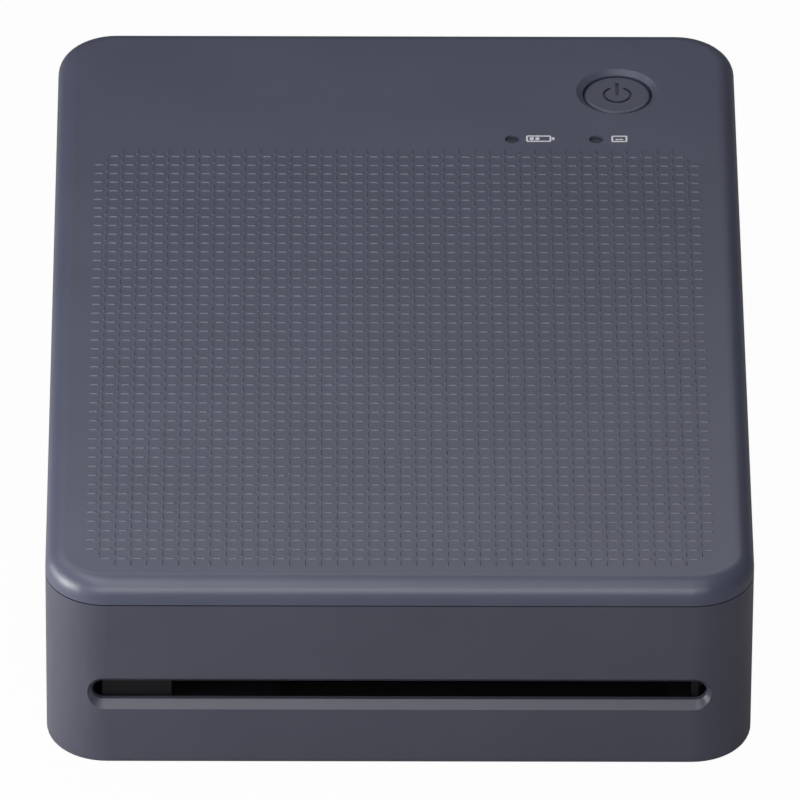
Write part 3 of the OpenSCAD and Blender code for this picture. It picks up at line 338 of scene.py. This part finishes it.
# One bar at the origin, repeated along a row, then the row repeated. The outer columns stop one row short
# at each end.
def makeBars(name, bars, shape, columns, rows, firstY):
    bm = bmesh.new()
    bmesh.ops.create_cube(bm, size=1)
    bmesh.ops.scale(bm, vec=(*shape["size"], shape["rise"] + bars["sunk"]), verts=bm.verts[:])
    bmesh.ops.translate(bm, vec=(0, 0, bars["top"] + (shape["rise"] - bars["sunk"]) / 2), verts=bm.verts[:])
    upright = [e for e in bm.edges if abs(e.verts[0].co.z - e.verts[1].co.z) > 0.01]
    bmesh.ops.bevel(bm, geom=upright, offset=bars["cornerCut"], segments=1, profile=0.5,
                    affect="EDGES", material=-1)
    narrowed = [1 - 2 * lean / side for side, lean in zip(shape["size"], shape["lean"])]
    bmesh.ops.scale(bm, vec=(*narrowed, 1), verts=[v for v in bm.verts if v.co.z > bars["top"]])
    startX = -(columns - 1) / 2 * bars["pitchX"]
    bmesh.ops.translate(bm, vec=(startX, firstY, 0), verts=bm.verts[:])
    outer = bm.verts[:] + bm.edges[:] + bm.faces[:]
    inner = []
    for i in range(1, columns - 1):
        inner += copyMoved(bm, outer, (i * bars["pitchX"], 0, 0))
    outer += copyMoved(bm, outer, ((columns - 1) * bars["pitchX"], 0, 0))
    for j in range(1, rows):
        copyMoved(bm, inner if j == rows - 1 else inner + outer, (0, j * bars["pitchY"], 0))
    bmesh.ops.delete(bm, geom=[g for g in outer if isinstance(g, bmesh.types.BMVert)], context="VERTS")
    return makePiece(bm, name, "lid", [finishes["lid_plastic"]])


makeBars("lidBarsAcross", lidBars, lidBars["across"], lidBars["columns"], lidBars["rows"],
         lidBars["firstRow"])
makeBars("lidBarsAlong", lidBars, lidBars["along"], lidBars["columns"] - 1, lidBars["rows"] + 1,
         lidBars["firstRow"] - lidBars["pitchY"] / 2)
print("lid bars made")

# The button cap with its engraved power sign
powerCap = {
    "place": (33.3, 55.9),
    "flangeRadius": 5.6,
    "flange": (30.2, 31.0),
    "radius": 4.95,
    "top": 32.3,
    "edge": 0.4,
    "flat": 4.3,
    "ringRadius": 2.0,
    "stroke": 0.42,
    "ringGap": 29,  # degrees, on each side of the bar
    "bar": (-0.2, 3.2),
    "barExtra": 0.07,  # the bar is this much wider than the ring's stroke
    "depth": 0.3,
    "signReach": 3.4,  # radius that holds the whole sign
}


def makePowerCap(cap):
    bm = bmesh.new()
    outline = [(0, cap["flange"][0]), (cap["flangeRadius"], cap["flange"][0]),
               (cap["flangeRadius"], cap["flange"][1]),
               (cap["radius"], cap["flange"][1]), (cap["radius"], cap["top"]), (cap["flat"], cap["top"]),
               (0, cap["top"])]
    corners = [bm.verts.new((r, 0, z)) for r, z in outline]
    edges = [bm.edges.new(pair) for pair in zip(corners, corners[1:])]
    bmesh.ops.spin(bm, geom=corners + edges, axis=(0, 0, 1), cent=(0, 0, 0), angle=2 * pi, steps=96,
                   use_merge=True)
    bmesh.ops.remove_doubles(bm, verts=bm.verts[:], dist=0.001)
    rim = [e for e in bm.edges if all(abs(v.co.z - cap["top"]) < 0.001 and
                                      v.co.xy.length > cap["radius"] - 0.01 for v in e.verts)]
    bmesh.ops.bevel(bm, geom=rim, offset=cap["edge"], segments=4, profile=0.5, affect="EDGES", material=-1)
    bmesh.ops.translate(bm, vec=(*cap["place"], 0), verts=bm.verts[:])
    return makePiece(bm, "powerCap", "button", [finishes["button_plastic"], paintedGrooveShade])


def makeSignCutter(cap):
    bm = bmesh.new()
    low, high, half = cap["top"] - cap["depth"], cap["top"] + 0.4, cap["stroke"] / 2
    section = [bm.verts.new((cap["ringRadius"] + r, 0, z)) for r, z in
               ((-half, low), (half, low), (half, high), (-half, high))]
    face = bm.faces.new(section)
    turn = Matrix.Rotation(radians(90 + cap["ringGap"]), 3, "Z")
    bmesh.ops.rotate(bm, verts=section, cent=(0, 0, 0), matrix=turn)
    bmesh.ops.spin(bm, geom=[face], axis=(0, 0, 1), cent=(0, 0, 0),
                   angle=radians(360 - 2 * cap["ringGap"]), steps=72)
    bar = bmesh.ops.create_cube(bm, size=1)["verts"]
    front, rear = cap["bar"]
    bmesh.ops.scale(bm, vec=(cap["stroke"] + cap["barExtra"], rear - front, high - low), verts=bar)
    bmesh.ops.translate(bm, vec=(0, (front + rear) / 2, (low + high) / 2), verts=bar)
    bmesh.ops.translate(bm, vec=(*cap["place"], 0), verts=bm.verts[:])
    return makePiece(bm, "signCutter", "button", [])


# Cuts the sign into the cap, and gives the faces that the cut left the cap's second finish: a darker colour,
# painted shade in the engraved groove
def engrave(piece, cutter, cap):
    cut = piece.modifiers.new("sign", "BOOLEAN")
    cut.operation, cut.solver, cut.object = "DIFFERENCE", "EXACT", cutter
    graph = bpy.context.evaluated_depsgraph_get()
    carved = bpy.data.meshes.new_from_object(piece.evaluated_get(graph))
    piece.modifiers.clear()
    piece.data = carved
    bpy.data.objects.remove(cutter)
    middle = Vector(cap["place"]) * mm
    low, high = (cap["top"] - cap["depth"] - 0.05) * mm, (cap["top"] - 0.01) * mm
    # Faces inside the cut groove get the painted groove shade
    for polygon in carved.polygons:
        reach = (polygon.center.xy - middle).length
        polygon.material_index = 1 if reach < cap["signReach"] * mm and low < polygon.center.z < high else 0
    carved.shade_smooth()
    carved.set_sharp_from_angle(angle=radians(30))


button = makePowerCap(powerCap)
engrave(button, makeSignCutter(powerCap), powerCap)
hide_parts("power_button")
print("button made")

# The leaf spring under the lift plate, made as a piece of its own from a copy of its CAD node's mesh
liftSpring = {
    "node": "lift_spring",
    "joint": "lift_plate_pivot",
    "flattened": 0.12,  # share of its height that is left
}


def makeLiftSpring(spring):
    bm = bmesh.new()
    bm.from_mesh(frame["nodes"][spring["node"]].data)
    bmesh.ops.scale(bm, vec=(1 / mm, 1 / mm, 1 / mm), verts=bm.verts[:])
    slotName = slotOf[spring["node"]]
    piece = makePiece(bm, "liftSpring", "case", [finishes[slotName]])
    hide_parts(spring["node"])
    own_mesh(piece)


makeLiftSpring(liftSpring)
print("lift spring made")

# Printed marks beside the lamps: a battery, and a sheet that leaves a slot. Places from the lid's middle.
lampMarks = {
    "lid": lidTop,
    "sunk": 0.02,
    "thick": 0.02,
    "line": 0.28,
    "middle": 42.95,
    "height": 1.7,
    "batteryX": (19.4, 23.2),
    "batteryCorner": 0.3,
    "batteryKnob": (0.12, 0.45),  # from the battery's right end
    "charge": (0.55, 1.15),  # the first block, from its left end
    "chargePitch": 0.85,
    "chargeMargin": 0.5,
    "sheetX": (32.2, 34.6),
    "sheetCorner": 0.2,
    "sheetSlot": (0.62, 0.55, 0.8),  # side margin, lower and upper edge
}


# A frame of the given line width, or a filled patch where it is none
def addFrame(bm, x, y, bottom, top, corner=0, line=None):
    plate = bmesh.ops.create_grid(bm, x_segments=1, y_segments=1, size=0.5)["verts"]
    bmesh.ops.scale(bm, vec=(x[1] - x[0], y[1] - y[0], 1), verts=plate)
    bmesh.ops.translate(bm, vec=((x[0] + x[1]) / 2, (y[0] + y[1]) / 2, bottom), verts=plate)
    face = plate[0].link_faces[0]
    if corner:
        rounded = bmesh.ops.bevel(bm, geom=plate, offset=corner, segments=3, profile=0.5,
                                  affect="VERTICES", material=-1)
        face = max((f for v in rounded["verts"] for f in v.link_faces), key=lambda f: f.calc_area())
    around = [face]
    if line:
        around = bmesh.ops.inset_region(bm, faces=[face], thickness=line, use_boundary=True,
                                        use_even_offset=True)["faces"]
        bmesh.ops.delete(bm, geom=[face], context="FACES_ONLY")
    raised = bmesh.ops.extrude_face_region(bm, geom=around, use_keep_orig=True)["geom"]
    corners = [v for v in raised if isinstance(v, bmesh.types.BMVert)]
    bmesh.ops.translate(bm, vec=(0, 0, top - bottom), verts=corners)


def makeLampMarks(marks):
    bm = bmesh.new()
    low, high = marks["lid"] - marks["sunk"], marks["lid"] + marks["thick"]
    front, rear = marks["middle"] - marks["height"] / 2, marks["middle"] + marks["height"] / 2
    inner = (front + marks["chargeMargin"], rear - marks["chargeMargin"])
    left, right = marks["batteryX"]
    addFrame(bm, (left, right), (front, rear), low, high, marks["batteryCorner"], marks["line"])
    addFrame(bm, [right + x for x in marks["batteryKnob"]], inner, low, high)
    for i in range(2):
        addFrame(bm, [left + x + marks["chargePitch"] * i for x in marks["charge"]], inner, low, high)
    left, right = marks["sheetX"]
    addFrame(bm, (left, right), (front, rear), low, high, marks["sheetCorner"], marks["line"])
    margin, lower, upper = marks["sheetSlot"]
    addFrame(bm, (left + margin, right - margin), (front + lower, front + upper), low, high)
    makePiece(bm, "lampMarks", "lid", [markInk])


makeLampMarks(lampMarks)
print("lamp marks made")

# Studio: a pale floor, a white backdrop for the camera, soft lamps. Sizes and places in metres.
studio = {
    "skyLevel": 0.06,
    "floorColour": (165, 165, 168),
    "floorSize": 6.0,
    "backdropShare": 0.975,
    "lamps": {
        # place, aim, width, height, radiance, colour
        "leftNearSoftbox": ((-0.2, -0.12, 0.05), (-0.05, -0.07, 0.01), 0.1, 0.08, 11.5, (1, 1, 0.95)),
        "leftLowSoftbox": ((-0.4, -0.03, 0.07), (-0.05, 0, 0), 0.4, 0.12, 5.9, (1, 1, 0.95)),
        "stripAbove": ((-0.09, -0.12, 0.28), (-0.03, -0.1, 0.03), 0.34, 0.08, 3.0, (1, 1, 1)),
        "topSoftbox": ((-0.05, -0.12, 0.6), (0, -0.05, 0.03), 0.5, 0.4, 1.2, (1, 1, 1)),
        "highFrontSoftbox": ((0, -0.4, 0.6), (0, -0.05, 0.03), 0.5, 0.3, 1.0, (1, 1, 1)),
        "frontSoftbox": ((-0.02, -0.72, 0.47), (0, -0.07, 0.03), 0.5, 0.2, 5.6, (1, 1, 1)),
        "lowFrontSoftbox": ((-0.1, -0.7, 0.27), (0, -0.06, 0.03), 0.5, 0.2, 3.4, (1, 1, 1)),
        "rearStrip": ((-0.03, 0.22, 0.31), (0, -0.06, 0.03), 0.5, 0.12, 2.2, (1, 1, 1)),
    },
}


def whiteForCamera(tree, share):
    seen = addNode(tree, "ShaderNodeLightPath").outputs["Is Camera Ray"]
    return addNode(tree, "ShaderNodeMath", {0: seen, 1: share}, operation="MULTIPLY").outputs[0]


def makeStudio(setup):
    scene = bpy.context.scene
    scene.view_settings.view_transform = "Standard"
    world = bpy.data.worlds.new("studioSky")
    scene.world = world
    world.use_nodes = True
    tree = world.node_tree
    sky = tree.nodes["Background"]
    sky.inputs["Color"].default_value = (1, 1, 1, 1)
    sky.inputs["Strength"].default_value = setup["skyLevel"]
    white = addNode(tree, "ShaderNodeBackground", {"Color": (1, 1, 1, 1), "Strength": 1.0})
    mixed = addNode(tree, "ShaderNodeMixShader", {0: whiteForCamera(tree, 1.0), 1: sky.outputs[0],
                                                  2: white.outputs[0]})
    tree.links.new(mixed.outputs[0], tree.nodes["World Output"].inputs["Surface"])

    floorFinish = bpy.data.materials.new("studioFloor")
    floorFinish.use_nodes = True
    tree = floorFinish.node_tree
    shader = tree.nodes["Principled BSDF"]
    shader.inputs["Roughness"].default_value = 0.9
    place = addNode(tree, "ShaderNodeTexCoord").outputs["Object"]
    grain = tint(tree, noise(tree, place, 20), near(setup["floorColour"], -1), setup["floorColour"])
    wear(shader, tree, Base_Color=grain)
    glow = addNode(tree, "ShaderNodeEmission", {"Color": (1, 1, 1, 1), "Strength": 1.0})
    mixed = addNode(tree, "ShaderNodeMixShader", {0: whiteForCamera(tree, setup["backdropShare"]),
                                                  1: shader.outputs[0], 2: glow.outputs[0]})
    tree.links.new(mixed.outputs[0], tree.nodes["Material Output"].inputs["Surface"])
    bm = bmesh.new()
    bmesh.ops.create_grid(bm, x_segments=1, y_segments=1, size=setup["floorSize"] / 2)
    mesh = bpy.data.meshes.new("studioFloor")
    bm.to_mesh(mesh)
    bm.free()
    mesh.materials.append(floorFinish)
    floor = bpy.data.objects.new("studioFloor", mesh)
    scene.collection.objects.link(floor)

    for name, (place, aim, width, height, radiance, colour) in setup["lamps"].items():
        data = bpy.data.lights.new(name, "AREA")
        data.shape, data.size, data.size_y = "RECTANGLE", width, height
        data.energy = radiance * pi * width * height
        data.color = colour
        lamp = bpy.data.objects.new(name, data)
        scene.collection.objects.link(lamp)
        lamp.location = place
        lamp.rotation_mode = "QUATERNION"
        lamp.rotation_quaternion = (Vector(aim) - Vector(place)).to_track_quat("-Z", "Y")
        lamp.visible_camera = False


makeStudio(studio)
print("studio made")
